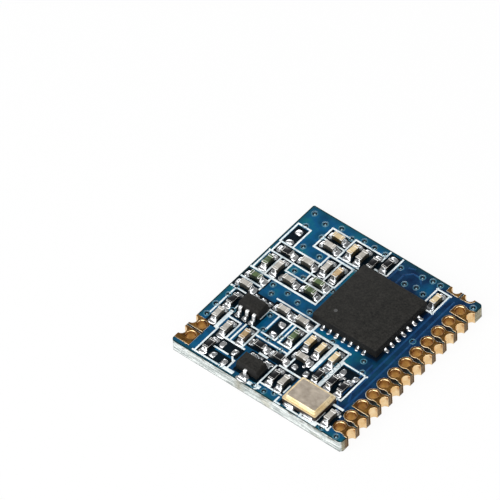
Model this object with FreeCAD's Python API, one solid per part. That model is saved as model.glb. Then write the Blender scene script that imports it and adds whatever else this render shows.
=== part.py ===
"""A small radio module on a castellated circuit board, in millimetres.

+Z is up and the origin is the middle of the underside. The row of twelve pads is on the +X edge, the two
antenna pads are on the -X edge, and two more half-holes are on the +Y edge. Every part sits on the top face.
"""
import FreeCAD, Part
import math
import os

from FreeCAD import Vector

# Board: the radio chip, and the field of small parts on each side of it
RADIO_SIZE = 6.0
LEFT_FIELD = 7.15
RIGHT_FIELD = 3.05
FRONT_FIELD = 7.825
BACK_FIELD = 2.825
CORE_THICKNESS = 1.0
CORNER_CUT = 0.2
COPPER = 0.035
MASK = 0.025
INK = 0.015
MASK_CLEARANCE = 0.03

# The parts stand on a grid. These are its lines at the board's edges and at the radio chip's sides
GRID_LINES_X = (-162, -19, 101, 162)
GRID_LINES_Y = (-166.5, -10, 110, 166.5)

# Plated pads
PITCH = 1.27
ROW_INSET = 1.07
END_MARGIN = 1.2
PAD_GAP = 0.34
HOLE_RADIUS = 0.39
PLATING = 0.02
DRILL_SIDES = 8
PAD_RADIUS = 0.55
NECK_HALF_WIDTH = 0.44
FLARE_LENGTH = 0.32
RING_STEP = 30
RING_END = 60
STRAIGHT_PADS = (2, 11)

# Antenna pads, level with the first two pads of the row
ANTENNA_INSET = 0.9
ANTENNA_PAD_REACH = 0.5
GROUND_PAD_DROP = 0.3

# Half-holes of the +Y edge
REAR_INSET = 1.23
REAR_COUNT = 2
REAR_PAD_DEPTH = 0.55

# Square radio chip with no leads
RADIO_HEIGHT = 0.83
RADIO_STANDOFF = 0.02
RADIO_PITCH = 0.65
RADIO_TERMINALS_A_SIDE = 7
RADIO_TERMINAL_WIDTH = 0.3
RADIO_TERMINAL_DEPTH = 0.4
RADIO_TERMINAL_HEIGHT = 0.2
RADIO_THERMAL_PAD = 4.2
RADIO_JOINT_REACH = 0.36

# Moulded chips with gull-wing leads
MOULD_LENGTH = 2.0
MOULD_WIDTH = 1.25
MOULD_HEIGHT = 0.85
MOULD_STANDOFF = 0.05
MOULD_DRAFT = 0.09
LEAD_WIDTH = 0.26
LEAD_THICKNESS = 0.12
LEAD_PITCH = 0.65
LEAD_SHOULDER = 0.12
LEAD_REACH = 0.45
SIX_LEAD_AT = (-101, -48)
THREE_LEAD_AT = (-30, -138)

# Quartz crystal
CRYSTAL_AT = (75, -133)
CRYSTAL_LENGTH = 3.2
CRYSTAL_WIDTH = 2.5
CRYSTAL_BASE_HEIGHT = 0.5
CRYSTAL_CORNER = 0.18
LID_RIM = 0.14
LID_FLANGE = 0.14
LID_THICKNESS = 0.09
LID_RISE = 0.34
LID_ROUND = 0.08
CRYSTAL_JOINT_REACH = 0.18

# Chip parts with two tinned ends
CHIP_LENGTH = 1.0
CHIP_WIDTH = 0.5
CHIP_END = 0.22
CHIP_STEP = 0.02
CAPACITOR_HEIGHT = 0.5
INDUCTOR_HEIGHT = 0.48
RESISTOR_HEIGHT = 0.35

# Solder
JOINT_REACH = 0.3
JOINT_CLIMB = 0.62
LEAD_JOINT_REACH = 0.25
LEAD_JOINT_HEIGHT = 0.14
LAND_PITCH = 1.15
LAND_LENGTH = 0.55
LAND_WIDTH = 0.52
LAND_HEIGHT = 0.09
LAND_SLOPE = 0.1

# White outlines
INK_WIDTH = 0.15
INK_BROAD = 0.28

CORE_BOTTOM = COPPER
CORE_TOP = COPPER + CORE_THICKNESS
PAD_TOP = CORE_TOP + COPPER
MASK_TOP = CORE_TOP + MASK
DRILL_RADIUS = (HOLE_RADIUS + PLATING) / math.cos(math.pi / DRILL_SIDES)
EDGE_X = (LEFT_FIELD + RADIO_SIZE + RIGHT_FIELD) / 2
EDGE_Y = (FRONT_FIELD + RADIO_SIZE + BACK_FIELD) / 2
PLACES_X = (-EDGE_X, LEFT_FIELD - EDGE_X, EDGE_X - RIGHT_FIELD, EDGE_X)
PLACES_Y = (-EDGE_Y, FRONT_FIELD - EDGE_Y, EDGE_Y - BACK_FIELD, EDGE_Y)
RADIO_X = (PLACES_X[1] + PLACES_X[2]) / 2
RADIO_Y = (PLACES_Y[1] + PLACES_Y[2]) / 2
ROW_X = EDGE_X - ROW_INSET
ANTENNA_X = ANTENNA_INSET - EDGE_X
LAST_PIN_Y = EDGE_Y - REAR_PAD_DEPTH - PAD_GAP - PAD_RADIUS
PIN_COUNT = 1 + int((LAST_PIN_Y + EDGE_Y - END_MARGIN) / PITCH)
ROW_Y = [LAST_PIN_Y - PITCH * i for i in reversed(range(PIN_COUNT))]
REAR_X = [EDGE_X - REAR_INSET - PITCH * i for i in range(REAR_COUNT)]

# Chip parts: grid place, and whether the long side lies along X or Y
CAPACITORS = [
    (-88, 135, "X"), (-88, 114, "X"), (-55, 128, "Y"), (-37, 128, "Y"), (-65, 79, "Y"), (-44, 79, "Y"),
    (-94, 69, "X"), (-123, 36, "Y"), (-94, 26, "X"), (-139, -20, "X"), (-136, -88, "Y"), (-108, -102, "Y"),
    (-77, -97, "Y"), (-63, -24, "X"), (-27, -24, "X"), (8, -48, "Y"), (29, -49, "Y"), (17, -78, "X"),
    (56, -51, "Y"), (25, -130, "Y"), (103, 128, "Y"), (120, -139, "Y"),
]
RESISTORS = [
    (-17, 128, "Y"), (2, 140, "Y"), (-132, 68, "X"), (-137, -53, "Y"), (-109, -141, "Y"), (56, -88, "Y"),
    (-48, -97, "X"), (-11, -97, "X"), (6, -129, "Y"), (80, -85, "Y"), (100, -85, "Y"),
]
INDUCTORS = [(-143, 36, "Y"), (-138, 2, "X"), (-55, 48, "X"), (-55, 28, "X"), (-18, -55, "Y")]

# Land pairs with no part on them
BARE_PAIRS = [
    (-144, 99, "Y"), (-49, -56, "Y"), (-82, -127, "X"), (-82, -152, "X"), (28, -96, "X"), (91, -60, "X"),
]

# White lines: each runs from one grid point to another, along X or along Y
OUTLINES = [
    (-157, 81, -157, 124), (-133, 81, -133, 124), (-157, 124, -133, 124), (-157, 81, -78, 81),
    (-155, 58, -155, 81), (-158, 58, -34, 58), (-110, 103, -110, 148), (-110, 148, -78, 148),
    (-110, 124, -68, 124), (-110, 103, -34, 103), (-68, 103, -68, 151), (-68, 151, -11, 151),
    (-11, 142, -11, 163), (-68, 109, -30, 109), (-9, 123, 13, 123), (13, 123, 13, 163),
    (-79, 58, -79, 103), (-34, 58, -34, 103), (-56, 58, -56, 103), (-157, 16, -157, 58),
    (-134, 16, -134, 58), (-113, 40, -113, 58), (-159, 16, -36, 16), (-113, 40, -36, 40),
    (-78, 40, -78, 58), (-36, 16, -36, 58), (-159, -7, -120, -7), (-120, -12, -120, 16),
    (-159, -30, -133, -30), (-150, -90, -150, -30), (-125, -63, -125, -55), (-121, -161, -121, -71),
    (-121, -80, -99, -80), (-99, -114, -99, -80), (-93, -115, -93, -77), (-102, -115, -66, -115),
    (-69, -115, -69, -74), (-84, -74, -69, -74), (-86, -10, -7, -10), (-83, -32, -7, -32),
    (-63, -66, -63, -32), (-39, -73, -39, -32), (-32, -73, -32, -32), (-63, -73, -39, -73),
    (-32, -73, -7, -73), (-69, -83, -7, -83), (-40, -107, -27, -107), (-2, -107, 36, -107),
    (7, -107, 7, -84), (-7, -160, -7, -109), (-62, -159, -62, -138), (-102, -137, -78, -137),
    (-121, -160, -51, -160), (-7, -26, 65, -26), (65, -44, 65, -26), (68, -46, 111, -46),
    (111, -104, 111, -46), (107, -104, 111, -104), (-7, -149, 34, -149), (35, -142, 35, -130),
    (35, -163, 35, -154), (35, -163, 43, -163), (62, -163, 78, -163), (110, -157, 130, -157),
    (130, -157, 130, -151), (89, 121, 89, 150), (89, 150, 112, 150), (112, 108, 112, 150),
    (102, 108, 112, 108),
]
BROAD_OUTLINES = [
    (-7, -83, -7, -10), (-124, -106, -124, -71), (40, -86, 40, -26), (68, -100, 68, -46),
    (-65, -159, -52, -159), (-17, -160, -5, -160), (85, -161, 109, -161), (107, -161, 107, -138),
    (107, -116, 124, -116),
]


def along_grid(value, lines, places):
    """Where a grid value falls, in millimetres: each field of the board has its own spacing."""
    field = 0
    while field < len(lines) - 2 and value > lines[field + 1]:
        field += 1
    share = (value - lines[field]) / (lines[field + 1] - lines[field])
    return places[field] + share * (places[field + 1] - places[field])


def place(point):
    """A grid point, in millimetres."""
    return along_grid(point[0], GRID_LINES_X, PLACES_X), along_grid(point[1], GRID_LINES_Y, PLACES_Y)


def box(x0, y0, z0, x1, y1, z1):
    """A block between two corners."""
    return Part.makeBox(x1 - x0, y1 - y0, z1 - z0, Vector(x0, y0, z0))


def prism(points, z0, z1):
    """A flat outline raised from one height to another."""
    corners = [Vector(x, y, z0) for x, y in points]
    wire = Part.makePolygon(corners + [corners[0]])
    return Part.Face(wire).extrude(Vector(0, 0, z1 - z0))


def around(radius, degrees):
    """Points on a circle about the origin."""
    return [(radius * math.cos(math.radians(a)), radius * math.sin(math.radians(a))) for a in degrees]


def turned(shape, x, y, quarter_turns):
    """A copy turned about Z by quarter turns and then moved to a place."""
    copy = shape.copy()
    copy.rotate(Vector(0, 0, 0), Vector(0, 0, 1), 90 * quarter_turns)
    copy.translate(Vector(x, y, 0))
    return copy


def save(name, solids):
    """One file: a single solid, or a group of separate ones."""
    shape = solids[0] if len(solids) == 1 else Part.makeCompound(solids)
    shape.exportStep("parts/" + name + ".step")


def drilled_places():
    """Centres of every drilled hole, whole or cut in half by an edge."""
    places = []
    for y in ROW_Y:
        places.append((ROW_X, y))
        places.append((EDGE_X, y))
    for y in ROW_Y[:2]:
        places.append((ANTENNA_X, y))
        places.append((-EDGE_X, y))
    for x in REAR_X:
        places.append((x, EDGE_Y))
    return places


def drill(x, y, z0, z1):
    """The cut for a plated hole. Its wall is hidden by the plating, so it has few sides."""
    corners = around(DRILL_RADIUS, range(0, 360, 360 // DRILL_SIDES))
    return prism([(x + a, y + b) for a, b in corners], z0, z1)


def slab(z0, z1):
    """A sheet as large as the board, with its corners cut."""
    sheet = box(-EDGE_X, -EDGE_Y, z0, EDGE_X, EDGE_Y, z1)
    upright = [e for e in sheet.Edges if abs(e.Vertexes[0].Z - e.Vertexes[1].Z) > (z1 - z0) / 2]
    return sheet.makeChamfer(CORNER_CUT, upright)


def board_core():
    """Laminate with all drilled holes."""
    drills = [drill(x, y, CORE_BOTTOM, CORE_TOP) for x, y in drilled_places()]
    return slab(CORE_BOTTOM, CORE_TOP).cut(Part.makeCompound(drills))


def rectangle(x0, y0, x1, y1):
    """Corners of a rectangle."""
    return [(x0, y0), (x1, y0), (x1, y1), (x0, y1)]


def grown(x0, y0, x1, y1):
    """Corners of the mask opening round a rectangular pad."""
    gap = MASK_CLEARANCE
    return rectangle(x0 - gap, y0 - gap, x1 + gap, y1 + gap)


def necked_outline(radius, neck):
    """A ring round the hole at the origin, a neck, and a wide end at the board edge."""
    ring = around(radius, range(RING_END, 360 - RING_END + RING_STEP, RING_STEP))
    middle = ROW_INSET / 2
    flare = ROW_INSET - FLARE_LENGTH
    lower = [(middle, -neck), (flare, -radius), (ROW_INSET, -radius)]
    upper = [(ROW_INSET, radius), (flare, radius), (middle, neck)]
    return ring + lower + upper


def straight_outline(radius, neck):
    """As the necked outline, but with one straight side and a corner at its end."""
    ring = around(radius, (RING_END, 90, 135, 180))
    lower = [(-radius, -radius), (ROW_INSET, -radius)]
    upper = [(ROW_INSET, radius), (ROW_INSET - FLARE_LENGTH, radius), (ROW_INSET / 2, neck)]
    return ring + lower + upper


def plated_pad(top_outline, bottom_outline, holes, keep):
    """A plate on each face, joined by the plating of its holes. Half-holes end at the edge of keep."""
    plates = [prism(bottom_outline, 0, COPPER), prism(top_outline, CORE_TOP, PAD_TOP)]
    sleeves = [drill(x, y, COPPER, CORE_TOP) for x, y in holes]
    bores = [Part.makeCylinder(HOLE_RADIUS, PAD_TOP, Vector(x, y, 0)) for x, y in holes]
    pad = plates[0].multiFuse(plates[1:] + sleeves)
    return pad.cut(Part.makeCompound(bores)).common(keep).removeSplitter()


def row_pads():
    """The pads of the +X edge: a hole and a half-hole each."""
    keep = box(-PITCH, -PITCH, 0, ROW_INSET, PITCH, PAD_TOP)
    square = rectangle(-PAD_RADIUS, -PAD_RADIUS, ROW_INSET, PAD_RADIUS)
    necked = necked_outline(PAD_RADIUS, NECK_HALF_WIDTH)
    straight = straight_outline(PAD_RADIUS, NECK_HALF_WIDTH)
    holes = [(0, 0), (ROW_INSET, 0)]
    kinds = [plated_pad(outline, square, holes, keep) for outline in (necked, straight)]
    return [turned(kinds[i in STRAIGHT_PADS], ROW_X, y, 0) for i, y in enumerate(ROW_Y)]


def antenna_rectangles():
    """The two pads of the -X edge. The one nearer the corner is longer, for the ground."""
    inner = ANTENNA_X + ANTENNA_PAD_REACH
    drops = (GROUND_PAD_DROP, 0)
    below = [y - PAD_RADIUS - drop for y, drop in zip(ROW_Y, drops)]
    return [(-EDGE_X, low, inner, y + PAD_RADIUS) for y, low in zip(ROW_Y, below)]


def antenna_pads():
    """A hole and a half-hole each."""
    keep = box(-EDGE_X, -EDGE_Y, 0, 0, EDGE_Y, PAD_TOP)
    pads = []
    for sides, y in zip(antenna_rectangles(), ROW_Y):
        outline = rectangle(*sides)
        pads.append(plated_pad(outline, outline, [(ANTENNA_X, y), (-EDGE_X, y)], keep))
    return pads


def rear_rectangles():
    """The two pads of the +Y edge."""
    inner = EDGE_Y - REAR_PAD_DEPTH
    return [(x - PAD_RADIUS, inner, x + PAD_RADIUS, EDGE_Y) for x in REAR_X]


def rear_pads():
    """A half-hole each."""
    keep = box(-EDGE_X, 0, 0, EDGE_X, EDGE_Y, PAD_TOP)
    pads = []
    for sides, x in zip(rear_rectangles(), REAR_X):
        outline = rectangle(*sides)
        pads.append(plated_pad(outline, outline, [(x, EDGE_Y)], keep))
    return pads


def mask_layer(z0, z1, necked):
    """Lacquer over one face, open round every plated pad."""
    windows = [prism(grown(*sides), z0, z1) for sides in antenna_rectangles() + rear_rectangles()]
    gap = MASK_CLEARANCE
    for i, y in enumerate(ROW_Y):
        if necked and i in STRAIGHT_PADS:
            window = prism(straight_outline(PAD_RADIUS + gap, NECK_HALF_WIDTH + gap), z0, z1)
        elif necked:
            window = prism(necked_outline(PAD_RADIUS + gap, NECK_HALF_WIDTH + gap), z0, z1)
        else:
            window = prism(grown(-PAD_RADIUS, -PAD_RADIUS, ROW_INSET, PAD_RADIUS), z0, z1)
        windows.append(turned(window, ROW_X, y, 0))
    return slab(z0, z1).cut(Part.makeCompound(windows))


def silkscreen(parts):
    """White lines, as one thin film that stops at every part and joint it would run under."""
    strips = []
    for lines, width in ((OUTLINES, INK_WIDTH), (BROAD_OUTLINES, INK_BROAD)):
        for u0, v0, u1, v1 in lines:
            x0, y0 = place((u0, v0))
            x1, y1 = place((u1, v1))
            half = width / 2
            strips.append(box(x0 - half, y0 - half, MASK_TOP, x1 + half, y1 + half, MASK_TOP + INK))
    film = strips[0].multiFuse(strips[1:]).removeSplitter()
    return film.cut(Part.makeCompound(parts)).Solids


def radio_sides():
    """Centre offset of each side terminal along its side."""
    middle = (RADIO_TERMINALS_A_SIDE - 1) / 2
    return [RADIO_PITCH * (i - middle) for i in range(RADIO_TERMINALS_A_SIDE)]


def radio_chip():
    """Mould compound, side terminals and exposed pad of the square chip."""
    x, y = RADIO_X, RADIO_Y
    half = RADIO_SIZE / 2
    bottom = MASK_TOP + RADIO_STANDOFF
    ledge = MASK_TOP + RADIO_TERMINAL_HEIGHT
    inner = half - RADIO_TERMINAL_DEPTH
    body = box(x - half, y - half, ledge, x + half, y + half, bottom + RADIO_HEIGHT)
    body = body.fuse(box(x - inner, y - inner, bottom, x + inner, y + inner, ledge)).removeSplitter()
    terminal = box(
        inner, -RADIO_TERMINAL_WIDTH / 2, MASK_TOP,
        half, RADIO_TERMINAL_WIDTH / 2, ledge,
    )
    terminals = []
    for side in range(4):
        for offset in radio_sides():
            piece = terminal.copy()
            piece.translate(Vector(0, offset, 0))
            terminals.append(turned(piece, x, y, side))
    reach = RADIO_THERMAL_PAD / 2
    thermal = box(x - reach, y - reach, MASK_TOP, x + reach, y + reach, bottom)
    return body, terminals, thermal


def radio_joints():
    """A small fillet of solder in front of each side terminal."""
    x, y = RADIO_X, RADIO_Y
    half = RADIO_SIZE / 2
    joint = fillet_wedge(half, RADIO_TERMINAL_WIDTH, RADIO_JOINT_REACH, RADIO_TERMINAL_HEIGHT)
    joints = []
    for side in range(4):
        for offset in radio_sides():
            piece = joint.copy()
            piece.translate(Vector(0, offset, 0))
            joints.append(turned(piece, x, y, side))
    return joints


def fillet_wedge(start, width, reach, height):
    """A wedge of solder that falls away along +X from a wall at start."""
    corners = [Vector(start, -width / 2, MASK_TOP), Vector(start + reach, -width / 2, MASK_TOP)]
    corners.append(Vector(start, -width / 2, MASK_TOP + height))
    face = Part.Face(Part.makePolygon(corners + [corners[0]]))
    return face.extrude(Vector(0, width, 0))


def frustum(length0, width0, z0, length1, width1, z1):
    """A block whose two ends are rectangles of different size."""
    a, b, c, d = length0 / 2, width0 / 2, length1 / 2, width1 / 2
    wedge = Part.makeWedge(-a, z0, -b, -d, -c, a, z1, b, d, c)
    wedge.rotate(Vector(0, 0, 0), Vector(1, 0, 0), 90)
    return wedge


def mould_body():
    """Moulded body that is widest at the plane of its leads."""
    bottom = MASK_TOP + MOULD_STANDOFF
    middle = bottom + MOULD_HEIGHT / 2
    small = (MOULD_LENGTH - MOULD_DRAFT, MOULD_WIDTH - MOULD_DRAFT)
    tip = (MOULD_LENGTH - 2 * MOULD_DRAFT, MOULD_WIDTH - 2 * MOULD_DRAFT)
    lower = frustum(small[0], small[1], bottom, MOULD_LENGTH, MOULD_WIDTH, middle)
    upper = frustum(MOULD_LENGTH, MOULD_WIDTH, middle, tip[0], tip[1], bottom + MOULD_HEIGHT)
    return lower.fuse(upper)


def gull_lead():
    """A lead that leaves the body's -Y face at mid height, steps down and ends in a flat foot."""
    face_y = -MOULD_WIDTH / 2
    middle = MASK_TOP + MOULD_STANDOFF + MOULD_HEIGHT / 2
    shoulder = face_y - LEAD_SHOULDER
    toe = face_y - LEAD_REACH
    shin = shoulder - LEAD_THICKNESS
    sole = MASK_TOP + LEAD_THICKNESS
    profile = [
        (face_y, middle), (shoulder, middle), (shoulder, sole), (shin + LEAD_THICKNESS / 2, MASK_TOP),
        (toe, MASK_TOP), (toe, sole), (shin, sole), (shin, middle + LEAD_THICKNESS / 2),
        (shin + LEAD_THICKNESS / 2, middle + LEAD_THICKNESS), (face_y, middle + LEAD_THICKNESS),
    ]
    points = [Vector(-LEAD_WIDTH / 2, y, z) for y, z in profile]
    lead = Part.Face(Part.makePolygon(points + [points[0]])).extrude(Vector(LEAD_WIDTH, 0, 0))
    return lead.cut(mould_body())


def gull_joint():
    """Solder in front of a lead's toe."""
    toe = MOULD_WIDTH / 2 + LEAD_REACH
    wedge = fillet_wedge(toe, LEAD_WIDTH, LEAD_JOINT_REACH, LEAD_JOINT_HEIGHT)
    wedge.rotate(Vector(0, 0, 0), Vector(0, 0, 1), -90)
    return wedge


def gull_places(front, rear):
    """Offset along the body and quarter turns of each lead."""
    return [(offset * LEAD_PITCH, 0) for offset in front] + [(offset * LEAD_PITCH, 2) for offset in rear]


def gull_chip(centre, front, rear):
    """Body, leads and solder of a moulded chip whose leads stand at the given offsets."""
    x, y = place(centre)
    lead, joint = gull_lead(), gull_joint()
    leads, joints = [], []
    for offset, turns in gull_places(front, rear):
        for shape, group in ((lead, leads), (joint, joints)):
            piece = turned(shape, 0, 0, turns)
            piece.translate(Vector(x + offset, y, 0))
            group.append(piece)
    return turned(mould_body(), x, y, 0), leads, joints


def cut_block(length, width, z0, z1):
    """A block with its four upright edges cut, about the Z axis."""
    block = box(-length / 2, -width / 2, z0, length / 2, width / 2, z1)
    upright = [e for e in block.Edges if abs(e.Vertexes[0].Z - e.Vertexes[1].Z) > (z1 - z0) / 2]
    return block.makeChamfer(CRYSTAL_CORNER, upright)


def crystal():
    """Ceramic base, and a drawn metal lid with a flange."""
    x, y = place(CRYSTAL_AT)
    top = MASK_TOP + CRYSTAL_BASE_HEIGHT
    base = cut_block(CRYSTAL_LENGTH, CRYSTAL_WIDTH, MASK_TOP, top)
    length, width = CRYSTAL_LENGTH - 2 * LID_RIM, CRYSTAL_WIDTH - 2 * LID_RIM
    flange = cut_block(length, width, top, top + LID_THICKNESS)
    cap = cut_block(length - 2 * LID_FLANGE, width - 2 * LID_FLANGE, top, top + LID_RISE)
    brow = [e for e in cap.Edges if min(v.Z for v in e.Vertexes) > top + LID_RISE / 2]
    cap = cap.makeChamfer(LID_ROUND, brow)
    return turned(base, x, y, 0), turned(flange.fuse(cap), x, y, 0)


def crystal_joints():
    """Solder at the four corners of the crystal's base."""
    x, y = place(CRYSTAL_AT)
    width = CRYSTAL_LENGTH / 3
    wedge = fillet_wedge(CRYSTAL_WIDTH / 2, width, CRYSTAL_JOINT_REACH, CRYSTAL_BASE_HEIGHT / 2)
    shift = CRYSTAL_LENGTH / 2 - CRYSTAL_CORNER - width / 2
    joints = []
    for turns in (1, 3):
        for side in (-shift, shift):
            piece = turned(wedge, 0, 0, turns)
            piece.translate(Vector(x + side, y, 0))
            joints.append(piece)
    return joints


def chip_part(item, height):
    """Ceramic body between two tinned ends that stand a little proud of it."""
    u, v, along = item
    x, y = place((u, v))
    half, side = CHIP_LENGTH / 2, CHIP_WIDTH / 2
    inner = half - CHIP_END
    step = CHIP_STEP
    top = MASK_TOP + height
    body = box(-inner, -side + step, MASK_TOP + step, inner, side - step, top - step)
    ends = [box(-half, -side, MASK_TOP, -inner, side, top), box(inner, -side, MASK_TOP, half, side, top)]
    turns = 1 if along == "Y" else 0
    return [turned(piece, x, y, turns) for piece in [body] + ends]


def chip_joints(items, height):
    """Solder fillets at both ends of each chip part."""
    wedge = fillet_wedge(CHIP_LENGTH / 2, CHIP_WIDTH, JOINT_REACH, height * JOINT_CLIMB)
    joints = []
    for u, v, along in items:
        x, y = place((u, v))
        first = 1 if along == "Y" else 0
        joints += [turned(wedge, x, y, first), turned(wedge, x, y, first + 2)]
    return joints


def bare_lands():
    """Tinned lands where no part is fitted, each a low mound."""
    top_length, top_width = LAND_LENGTH - 2 * LAND_SLOPE, LAND_WIDTH - 2 * LAND_SLOPE
    mound = frustum(LAND_LENGTH, LAND_WIDTH, MASK_TOP, top_length, top_width, MASK_TOP + LAND_HEIGHT)
    lands = []
    for u, v, along in BARE_PAIRS:
        x, y = place((u, v))
        for side in (-1, 1):
            piece = mound.copy()
            piece.translate(Vector(side * LAND_PITCH / 2, 0, 0))
            lands.append(turned(piece, x, y, 1 if along == "Y" else 0))
    return lands


def main():
    os.makedirs("parts", exist_ok=True)
    save("board_core", [board_core()])
    save("mask_top", [mask_layer(CORE_TOP, MASK_TOP, True)])
    save("mask_bottom", [mask_layer(CORE_BOTTOM - MASK, CORE_BOTTOM, False)])
    save("row_pads", row_pads())
    save("antenna_pads", antenna_pads())
    save("rear_pads", rear_pads())
    body, terminals, thermal = radio_chip()
    save("radio_body", [body])
    save("radio_terminals", terminals)
    save("radio_thermal_pad", [thermal])
    save("radio_solder", radio_joints())
    six_body, six_leads, six_joints = gull_chip(SIX_LEAD_AT, (-1, 0, 1), (-1, 0, 1))
    save("six_lead_body", [six_body])
    save("six_lead_leads", six_leads)
    three_body, three_leads, three_joints = gull_chip(THREE_LEAD_AT, (0,), (-1, 1))
    save("three_lead_body", [three_body])
    save("three_lead_leads", three_leads)
    base, lid = crystal()
    save("crystal_base", [base])
    save("crystal_lid", [lid])
    joints = six_joints + three_joints + crystal_joints()
    chips = []
    for word, items, height in (
        ("capacitor", CAPACITORS, CAPACITOR_HEIGHT),
        ("resistor", RESISTORS, RESISTOR_HEIGHT),
        ("inductor", INDUCTORS, INDUCTOR_HEIGHT),
    ):
        for number, item in enumerate(items, 1):
            pieces = chip_part(item, height)
            save(f"{word}_{number:02d}", pieces)
            chips += pieces
        joints += chip_joints(items, height)
    lands = bare_lands()
    save("solder_joints", joints)
    save("bare_lands", lands)
    save("silkscreen", silkscreen([base] + six_leads + three_leads + joints + chips + lands))


main()
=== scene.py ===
import bpy
import bmesh
import math
import random
from mathutils import Matrix, Vector


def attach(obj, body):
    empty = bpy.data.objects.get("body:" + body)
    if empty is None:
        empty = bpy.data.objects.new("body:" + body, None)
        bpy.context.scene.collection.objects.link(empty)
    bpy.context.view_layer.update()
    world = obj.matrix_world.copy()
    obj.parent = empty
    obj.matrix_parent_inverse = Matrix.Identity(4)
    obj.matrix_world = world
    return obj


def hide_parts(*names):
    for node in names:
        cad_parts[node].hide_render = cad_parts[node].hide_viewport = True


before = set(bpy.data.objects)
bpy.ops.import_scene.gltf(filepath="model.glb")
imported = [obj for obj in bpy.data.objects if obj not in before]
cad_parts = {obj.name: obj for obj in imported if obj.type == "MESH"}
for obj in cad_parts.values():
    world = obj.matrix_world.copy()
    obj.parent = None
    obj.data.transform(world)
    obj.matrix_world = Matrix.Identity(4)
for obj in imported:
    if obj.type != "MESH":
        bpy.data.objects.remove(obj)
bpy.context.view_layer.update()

random.seed(7)

# Every length below is in millimetres, and make_object turns it into metres
MM = 0.001

# The board's layers and edges
COPPER = 0.035
CORE_TOP = 1.035
MASK_TOP = 1.060
PAD_TOP = 1.070
EDGE_X = 8.1
EDGE_Y = 8.325

# The middle of the square radio chip, and the point from which vias and bare lands were measured
RADIO_X, RADIO_Y = 2.05, 2.5
ORIGIN_X, ORIGIN_Y = 2.05, 2.485


# Materials

MATERIALS = {}


def rgb(code):
    """A colour written as it looks on a screen, made linear."""
    values = [int(code[i:i + 2], 16) / 255 for i in (0, 2, 4)]
    return *(v / 12.92 if v <= 0.04045 else ((v + 0.055) / 1.055) ** 2.4 for v in values), 1.0


class Shader:
    """A new material, with short ways to add nodes to it. Most return the output of their last node."""

    def __init__(self, name):
        self.material = bpy.data.materials.new(name)
        self.material.use_nodes = True
        self.tree = self.material.node_tree
        self.tree.nodes.clear()
        MATERIALS[name] = self.material

    def node(self, kind, **values):
        made = self.tree.nodes.new("ShaderNode" + kind)
        for key, value in values.items():
            if key in made.inputs.keys():
                made.inputs[key].default_value = value
            else:
                setattr(made, key, value)
        return made

    def feed(self, socket, value):
        """Gives a socket another node's output, a colour's code or a number."""
        if isinstance(value, bpy.types.NodeSocket):
            self.tree.links.new(value, socket)
        else:
            socket.default_value = rgb(value) if isinstance(value, str) else value

    def coords(self, scale=(1, 1, 1)):
        """Object coordinates in millimetres, scaled."""
        mapping = self.node("Mapping", Scale=[s / MM for s in scale])
        self.feed(mapping.inputs["Vector"], self.node("TexCoord").outputs["Object"])
        return mapping.outputs["Vector"]

    def separate(self, vector):
        made = self.node("SeparateXYZ")
        self.feed(made.inputs[0], vector)
        return list(made.outputs)

    def noise(self, vector, scale, detail, roughness):
        made = self.node("TexNoise", Scale=scale, Detail=detail, Roughness=roughness)
        self.feed(made.inputs["Vector"], vector)
        return made.outputs["Fac"]

    def ramp(self, value, *stops):
        """Blends over stops, each a position with a colour's code or a number."""
        made = self.node("ValToRGB")
        while len(made.color_ramp.elements) < len(stops):
            made.color_ramp.elements.new(0.5)
        for element, (position, stop) in zip(made.color_ramp.elements, stops):
            element.position = position
            element.color = rgb(stop) if isinstance(stop, str) else (stop, stop, stop, 1.0)
        self.feed(made.inputs["Fac"], value)
        return made.outputs["Color"]

    def mix(self, factor, a, b):
        """Goes from a to b. A Mix node has sockets for each kind of value, and these are the colours'."""
        made = self.node("Mix", data_type="RGBA", blend_type="MIX")
        for index, value in ((0, factor), (6, a), (7, b)):
            self.feed(made.inputs[index], value)
        return made.outputs[2]

    def math(self, operation, *values, clamp=False):
        made = self.node("Math", operation=operation, use_clamp=clamp)
        for socket, value in zip(made.inputs, values):
            self.feed(socket, value)
        return made.outputs[0]

    def add(self, a, b):
        return self.math("ADD", a, b)

    def multiply(self, a, b, clamp=False):
        return self.math("MULTIPLY", a, b, clamp=clamp)

    def blend(self, a, b, share):
        """Two patterns in one: b has the share, and a the rest."""
        return self.add(self.multiply(a, 1 - share), self.multiply(b, share))

    def slope(self, value, gain, offset):
        """A straight rise or fall over the value, kept between 0 and 1."""
        return self.math("MULTIPLY_ADD", value, gain, offset, clamp=True)

    def away(self, value, middle):
        """How far the value is from a middle."""
        return self.math("ABSOLUTE", self.add(value, -middle))

    def shade_sides(self, colour, side):
        """Painted shade: the colour where a surface faces up, and a darker one on its sides."""
        z = self.separate(self.node("NewGeometry").outputs["Normal"])[2]
        return self.mix(self.slope(z, 1.6, -0.35), side, colour)

    def surface(self, colour, grain, rough, height, relief, distance=0.00002, **values):
        """The shaded surface: the grain sets its roughness between two values, the height is its relief.

        The distance is in metres.
        """
        out = self.node("OutputMaterial")
        bsdf = self.node("BsdfPrincipled", **values)
        bump = self.node("Bump", Strength=relief, Distance=distance)
        self.feed(out.inputs["Surface"], bsdf.outputs["BSDF"])
        self.feed(bsdf.inputs["Base Color"], colour)
        self.feed(bsdf.inputs["Roughness"], self.ramp(grain, (0.3, rough[0]), (0.7, rough[1])))
        self.feed(bump.inputs["Height"], height)
        self.feed(bsdf.inputs["Normal"], bump.outputs["Normal"])


def metal(name, dark, light, rough, speckle, relief, metallic=1.0, side=None, scale=(1, 1, 1)):
    """A metal with soft patches and a fine grain."""
    s = Shader(name)
    at = s.coords(scale)
    patches = s.noise(at, 1.3, 3.0, 0.6)
    fine = s.noise(at, speckle, 4.0, 0.65)
    colour = s.ramp(patches, (0.3, dark), (0.7, light))
    # Painted shade: faces that don't face up take the darker side colour
    if side:
        colour = s.shade_sides(colour, side)
    s.surface(colour, fine, rough, fine, relief, Metallic=metallic)


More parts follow.
